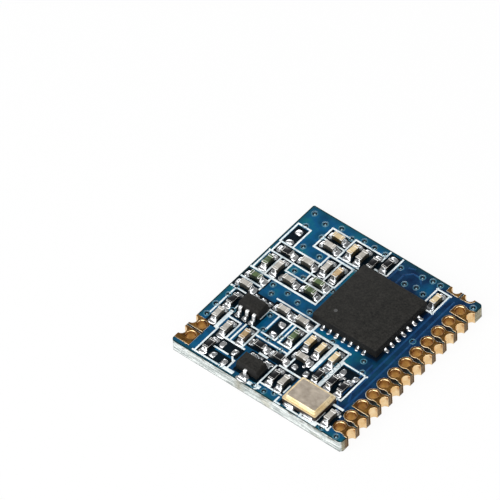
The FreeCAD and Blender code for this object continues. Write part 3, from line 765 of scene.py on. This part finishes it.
def add_pad(bm, outline, under, holes, notch):
    """A plated pad: plates on both faces and the walls between them."""
    loops = [circle(x, y, HOLE, HOLE_STEPS) for x, y in holes]
    wide = [circle(x, y, HOLE + FLARE - ROUNDING, HOLE_STEPS) for x, y in holes]
    add_sheet(bm, [outline] + wide, CORE_TOP, PAD_TOP, ROUNDING, DROP, RIM_HIGHLIGHT)
    add_sheet(bm, [under] + loops, 0.0, COPPER, 0.03, DROP, RIM_HIGHLIGHT)
    for x, y in holes:
        add_wall(bm, x, y, 0, 360, WALL_SHADE)
    add_wall(bm, *notch, NOTCH)


def cut_rectangle(x0, y0, x1, y1, notch):
    """A rectangle from corner to corner, with a half-hole in the side at x1."""
    return [(x0, y0), (x1, y0)] + notch + [(x1, y1), (x0, y1)]


bm = bmesh.new()
for i, y in enumerate(ROW_Y):
    notch = arc(EDGE_X, y, HOLE, 90, 270, NOTCH_STEPS)
    under = cut_rectangle(ROW_X - PAD_RADIUS, y - PAD_RADIUS, EDGE_X, y + PAD_RADIUS, notch[::-1])
    add_pad(bm, ring_side(i, y, 0) + notch, under, [(ROW_X, y)], (EDGE_X, y, 90, 270))
row = make_object("row_pads_plated", bm, GOLD)
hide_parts("row_pads")

bm = bmesh.new()
for y, drop in ((ROW_Y[0], ANTENNA_DROP), (ROW_Y[1], 0.0)):
    notch = arc(-EDGE_X, y, HOLE, -90, 90, NOTCH_STEPS)
    loop = cut_rectangle(ANTENNA_REACH, y + PAD_RADIUS, -EDGE_X, y - PAD_RADIUS - drop, notch[::-1])
    add_pad(bm, loop, loop, [(ANTENNA_X, y)], (-EDGE_X, y, -90, 90))
antenna = make_object("antenna_pads_plated", bm, GOLD)
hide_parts("antenna_pads")

bm = bmesh.new()
for x in REAR_X:
    loop = rear_side(x, 0) + arc(x, EDGE_Y, HOLE, 180, 360, NOTCH_STEPS)
    add_pad(bm, loop, loop, [], (x, EDGE_Y, 180, 360))
rear = make_object("rear_pads_plated", bm, GOLD)
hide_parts("rear_pads")


# Solder

def add_fillet(bm, wall, width, height, reach, at, spread=1.0, back=0.06, dome=0.07, long=14, wide=12):
    """Solder on a land: it climbs the wall at x = wall, sags, and ends in a low rounded foot towards +X."""
    lean = random.uniform(-0.05, 0.05)
    rows = []
    for i in range(long + 1):
        x = wall - back + (reach + back) * i / long
        t = min(1.0, max(0.0, (x - wall) / reach))
        rise = height * max(0.0, 1.0 - t / 0.62) ** 2 + dome * (1 - t ** 8) ** 0.6
        half = width / 2 * (1 + (spread - 1) * min(1.0, t * 3.0)) * math.sqrt(max(0.0, 1 - 0.96 * t ** 9))
        row = []
        for j in range(wide + 1):
            a = -1 + 2 * j / wide
            lift = max(0.0, 1 - abs(a) ** 4) ** 0.55
            bulge = 1 + 0.12 * math.sin(3.1 * a + 9 * lean)
            row.append((x, half * a + lean * t * t, MASK_TOP + 0.002 + rise * lift * bulge))
        rows.append(row)
    add_rings(bm, rows, at, closed=False)


def add_mound(bm, x, y, length, width, height):
    """A tinned land: solder that stands highest off its middle, on a rounded rectangle."""
    swell = [random.uniform(0, 6.3) for _ in range(3)]
    dx, dy = random.uniform(-0.16, 0.16) * length, random.uniform(-0.16, 0.16) * width
    steps = 28
    rings = []
    for share, z in ((1.0, 0.0), (0.95, 0.32), (0.82, 0.62), (0.62, 0.85), (0.38, 0.97), (0.14, 1.0)):
        ring = []
        for i in range(steps):
            a = 2 * math.pi * i / steps
            c, d = math.cos(a), math.sin(a)
            wave = 0.07 * math.sin(2 * a + swell[0]) + 0.05 * math.sin(3 * a + swell[1])
            lift = height * z * (1 + 0.3 * math.sin(a + swell[2]) * (1 - abs(2 * share - 1)))
            r = share * (1 + wave * share)
            ring.append((x + dx * (1 - share) + length / 2 * r * math.copysign(abs(c) ** 0.6, c),
                         y + dy * (1 - share) + width / 2 * r * math.copysign(abs(d) ** 0.6, d),
                         MASK_TOP + lift))
        rings.append(ring)
    add_rings(bm, rings, cap_end=True)


# Chip parts. All their solder goes into one piece

CHIP_END = 0.5
CHIP_SIDE = 0.25
CAPACITOR_HEIGHT, RESISTOR_HEIGHT, INDUCTOR_HEIGHT = 0.5, 0.34, 0.48
solder = bmesh.new()


def chip_frame(u, v, along):
    """Where a chip part stands, turned by a degree or two as placed parts are."""
    quarters = (1 if along == "Y" else 0) + random.uniform(-1.6, 1.6) / 90
    return placed(*put(u, v), quarters)


def add_body(bm, at, x0, x1, half_wide, low, high, bevel, segments, material=0):
    """A block of a chip part's body. Its heights are above the lacquer."""
    add_block(bm, (x0, -half_wide, MASK_TOP + low), (x1, half_wide, MASK_TOP + high),
              bevel, segments, at, material)


def add_ends(bm, at, height, end=0.25):
    """The two tinned ends of a chip part, with rounded corners."""
    for side in (-1, 1):
        x0, x1 = sorted((side * CHIP_END, side * (CHIP_END - end)))
        add_body(bm, at, x0, x1, CHIP_SIDE, 0.0, height, 0.045, 3, 1)


def add_joints(at, height):
    """Solder at both ends of a chip part."""
    for quarters in (0, 2):
        reach = random.uniform(0.40, 0.48)
        add_fillet(solder, CHIP_END, 0.54, height * 0.62, reach, at @ turned(quarters), 1.22)


for i, (u, v, along, tint) in enumerate(CAPACITORS, 1):
    at = chip_frame(u, v, along)
    bm = bmesh.new()
    add_body(bm, at, -0.42, 0.42, 0.235, 0.015, 0.485, 0.035, 2)
    add_ends(bm, at, CAPACITOR_HEIGHT)
    chip = make_object(f"chip_capacitor_{i:02d}", bm, ["ceramic_" + tint, "tin"])
    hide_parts(f"capacitor_{i:02d}")
    add_joints(at, CAPACITOR_HEIGHT)
for i, (u, v, along) in enumerate(RESISTORS, 1):
    at = chip_frame(u, v, along)
    bm = bmesh.new()
    add_body(bm, at, -0.46, 0.46, 0.24, 0.01, 0.31, 0.012, 1, 2)
    add_body(bm, at, -0.31, 0.31, 0.235, 0.29, 0.348, 0.03, 2)
    add_ends(bm, at, RESISTOR_HEIGHT, 0.19)
    looks = ["resistor_black", "tin", "resistor_white"]
    chip = make_object(f"chip_resistor_{i:02d}", bm, looks)
    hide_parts(f"resistor_{i:02d}")
    add_joints(at, RESISTOR_HEIGHT + 0.01)
for i, (u, v, along) in enumerate(INDUCTORS, 1):
    at = chip_frame(u, v, along)
    bm = bmesh.new()
    add_body(bm, at, -0.42, 0.10, 0.235, 0.015, 0.465, 0.03, 2)
    add_body(bm, at, 0.08, 0.42, 0.237, 0.013, 0.467, 0.03, 2, 2)
    add_ends(bm, at, INDUCTOR_HEIGHT, 0.24)
    looks = ["inductor_green", "tin", "inductor_band"]
    chip = make_object(f"chip_inductor_{i:02d}", bm, looks)
    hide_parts(f"inductor_{i:02d}")
    add_joints(at, INDUCTOR_HEIGHT)


# Square radio chip: body with its dot, side terminals and their solder

LEAD_PITCH = 0.65
RADIO_HALF = 3.0
RADIO_TOP = MASK_TOP + 0.85
at = placed(RADIO_X, RADIO_Y)
bm = bmesh.new()
low, high = (-RADIO_HALF, -RADIO_HALF, MASK_TOP + 0.02), (RADIO_HALF, RADIO_HALF, RADIO_TOP)
add_block(bm, low, high, 0.045, 3, at)
# Painted shade: the sides below the top edge take the darker moulding
for f in bm.faces:
    if abs(f.normal.z) < 0.3 and f.calc_center_median().z < RADIO_TOP - 0.05:
        f.material_index = 1
dot = [(0.15, 0.0002), (0.135, 0.003), (0.115, 0.0008), (0.05, 0.0004)]
add_revolved(bm, RADIO_X - 1.8, RADIO_Y - 1.77, RADIO_TOP, dot, 28, [2, 2, 2])
radio = make_object("radio_chip_body", bm, ["mould_compound", "mould_side_shade", "dot"])
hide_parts("radio_body")

bm = bmesh.new()
for side in range(4):
    for k in range(7):
        spin = at @ turned(side) @ Matrix.Translation((0, LEAD_PITCH * (k - 3), 0))
        low, high = (RADIO_HALF - 0.4, -0.13, MASK_TOP), (RADIO_HALF + 0.004, 0.13, MASK_TOP + 0.2)
        add_block(bm, low, high, 0.03, 2, spin)
        add_fillet(solder, RADIO_HALF, 0.27, 0.15, random.uniform(0.34, 0.42), spin, 1.12, 0.02, 0.05, 10, 8)
terminals = make_object("radio_chip_terminals", bm, ["tin"])
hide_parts("radio_terminals")
paint("radio_thermal_pad", "tin")


# Moulded chips with gull-wing leads

SEAT = 0.05
LEAD_LEVEL = SEAT + 0.425
GULL_TOP = 0.9


def add_lead(bm, at):
    """A flat lead that leaves the body at mid height, bends down and ends in a foot."""
    w, half_thick, r = 0.13, 0.06, 0.02
    mid = LEAD_LEVEL + half_thick
    path = [(-0.55, mid), (-0.66, mid), (-0.72, mid - 0.02), (-0.765, mid - 0.07), (-0.785, mid - 0.16),
            (-0.80, 0.19), (-0.82, 0.11), (-0.86, 0.07), (-0.92, half_thick), (-1.075, half_thick)]
    path = [(y, MASK_TOP + z) for y, z in path]
    rings = []
    for i, (y, z) in enumerate(path):
        before, after = path[max(i - 1, 0)], path[min(i + 1, len(path) - 1)]
        dy, dz = after[0] - before[0], after[1] - before[1]
        size = math.hypot(dy, dz)
        ny, nz = -dz / size * half_thick, dy / size * half_thick
        section = [(-w + r, -1), (w - r, -1), (w, -0.6), (w, 0.6),
                   (w - r, 1), (-w + r, 1), (-w, 0.6), (-w, -0.6)]
        rings.append([(x, y + ny * k, z + nz * k) for x, k in section])
    add_rings(bm, rings, at, cap_start=True, cap_end=True)


def gull_chip(word, u, v, front, rear, feet, reaches, spread, climb, back):
    """A moulded chip: the places of its front and rear leads, and how wide and long their solder is."""
    x, y = put(u, v)
    bm = bmesh.new()
    # The bands below the top take the darker moulding: painted shade on the sides
    add_drawn_block(bm, 2.0, 1.25, 0.07, MASK_TOP, [
        (0.06, SEAT, 1), (0.02, SEAT + 0.05, 1), (0.0, LEAD_LEVEL - 0.02, 1), (0.0, LEAD_LEVEL + 0.02, 1),
        (0.07, GULL_TOP - 0.05, 1), (0.10, GULL_TOP - 0.012, 0), (0.13, GULL_TOP, 0)], placed(x, y), 3)
    body = make_object(f"{word}_moulding", bm, ["mould_compound", "mould_side_shade"])
    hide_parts(f"{word}_body")
    bm = bmesh.new()
    for side, offsets in enumerate((front, rear)):
        for offset in offsets:
            spin = placed(x + LEAD_PITCH * offset, y, 2 * side)
            add_lead(bm, spin)
            add_fillet(solder, 1.06, feet[side], climb, reaches[side], spin @ turned(-1),
                       spread, back, 0.06, 12, 10)
    leads = make_object(f"{word}_gull_leads", bm, ["lead_tin"])
    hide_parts(f"{word}_leads")


gull_chip("six_lead", -101, -48, (-1, 0, 1), (-1, 0, 1), (0.36, 0.36), (0.25, 0.25), 1.25, 0.11, 0.2)
gull_chip("three_lead", -30, -138, (0,), (-1, 1), (0.8, 0.66), (0.33, 0.28), 1.3, 0.2, 0.32)


# Quartz crystal: ceramic base, drawn lid and the solder at its corners

BASE_HEIGHT = 0.5
x, y = put(75, -133)
at = placed(x, y)
bm = bmesh.new()
add_drawn_block(bm, 3.2, 2.5, 0.16, MASK_TOP, [
    (0.015, 0.0, 0), (0.0, 0.04, 0), (0.0, 0.43, 0),
    (0.012, 0.46, 1), (0.02, 0.495, 1), (0.05, BASE_HEIGHT, 1)], at, 6)
base = make_object("crystal_ceramic_base", bm, ["crystal_ceramic", "lid_gold"])
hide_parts("crystal_base")
bm = bmesh.new()
add_drawn_block(bm, 2.92, 2.22, 0.2, MASK_TOP + BASE_HEIGHT, [
    (0.0, 0.0, 1), (0.0, 0.03, 1), (0.015, 0.045, 1), (0.05, 0.05, 1), (0.065, 0.07, 1), (0.075, 0.14, 1),
    (0.09, 0.205, 1), (0.12, 0.245, 1), (0.165, 0.26, 1), (0.20, 0.262, 0)], at, 8)
lid = make_object("crystal_drawn_lid", bm, ["lid_metal", "lid_gold"])
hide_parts("crystal_lid")
for quarters in (1, 3):
    for side in (-1, 1):
        add_fillet(solder, 1.25, 0.95, 0.16, 0.22, placed(x + side * 0.9, y, quarters), 1.05, 0.04)


# Bare tinned lands, loose beads and all the solder at parts

bm = bmesh.new()
for x, y, length, width in LANDS:
    add_mound(bm, x + ORIGIN_X, y + ORIGIN_Y, length, width, random.uniform(0.12, 0.15))
for x, y in BEADS:
    add_mound(bm, x, y, 0.22, 0.22, 0.07)
land = make_object("tinned_lands", bm, ["solder"])
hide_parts("bare_lands")
joints = make_object("solder_fillets", solder, ["solder"])
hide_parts("solder_joints", "radio_solder")


# Floor, lights and camera

def floor_material():
    """Pale and matte, and white to the camera and in reflections, with the object's shadow kept."""
    s = Shader("floor")
    path = s.node("LightPath")
    seen = s.math("MAXIMUM", path.outputs["Is Camera Ray"], path.outputs["Is Glossy Ray"])
    both = s.node("MixShader")
    s.feed(both.inputs[0], s.multiply(seen, 0.9))
    s.feed(both.inputs[1], s.node("BsdfDiffuse", Color=(0.8, 0.8, 0.8, 1)).outputs[0])
    s.feed(both.inputs[2], s.node("Emission", Color=(1, 1, 1, 1), Strength=1.0).outputs[0])
    s.feed(s.node("OutputMaterial").inputs["Surface"], both.outputs[0])
    return s.material


def way(azimuth, elevation):
    """The direction of an azimuth and an elevation, in radians."""
    level = math.cos(elevation)
    return Vector((math.sin(azimuth) * level, -math.cos(azimuth) * level, math.sin(elevation)))


def lamp(name, azimuth, elevation, distance, size, power):
    """A round soft lamp that faces the object. Its distance and size are in metres."""
    data = bpy.data.lights.new(name, "AREA")
    data.shape = "DISK"
    data.size = size
    data.energy = power
    obj = bpy.data.objects.new(name, data)
    back = way(math.radians(azimuth), math.radians(elevation))
    obj.location = back * distance
    obj.rotation_euler = back.to_track_quat("Z", "Y").to_euler()
    bpy.context.scene.collection.objects.link(obj)


bpy.ops.mesh.primitive_grid_add(x_subdivisions=4, y_subdivisions=4, size=4.0, location=(0, 0, -0.00002))
floor = bpy.context.object
floor.name = "floor"
floor.data.materials.append(floor_material())

world = bpy.data.worlds.new("world")
bpy.context.scene.world = world
world.use_nodes = True
background = world.node_tree.nodes["Background"]
background.inputs["Color"].default_value = (1, 1, 1, 1)
background.inputs["Strength"].default_value = 0.22

lamp("key", 2, 43, 0.5, 0.85, 5.0)
lamp("fill", 95, 35, 0.5, 0.3, 0.6)
lamp("low_back", 222, 12, 0.5, 0.4, 1.1)

# The camera that was fitted to the photograph: turn, tilt and roll in degrees, and its place in millimetres
AZIMUTH, ELEVATION, ROLL = 42.585, 48.930, -3.692
DISTANCE, ACROSS, UP = 442.915, 8.857, -4.785
azimuth, elevation, roll = (math.radians(v) for v in (AZIMUTH, ELEVATION, ROLL))
back = way(azimuth, elevation)
right = Vector((math.cos(azimuth), math.sin(azimuth), 0))
up = back.cross(right)
right, up = math.cos(roll) * right + math.sin(roll) * up, -math.sin(roll) * right + math.cos(roll) * up
eye = -ACROSS * right - UP * up + DISTANCE * back + Vector((ORIGIN_X, ORIGIN_Y, PAD_TOP))
data = bpy.data.cameras.new("camera")
data.lens = 432
data.sensor_width = 36
data.clip_start = 0.01
data.clip_end = 20
camera = bpy.data.objects.new("camera", data)
camera.matrix_world = Matrix.Translation(eye * MM) @ Matrix((right, up, back)).transposed().to_4x4()
bpy.context.scene.collection.objects.link(camera)
bpy.context.scene.camera = camera
bpy.context.scene.view_settings.view_transform = "Standard"
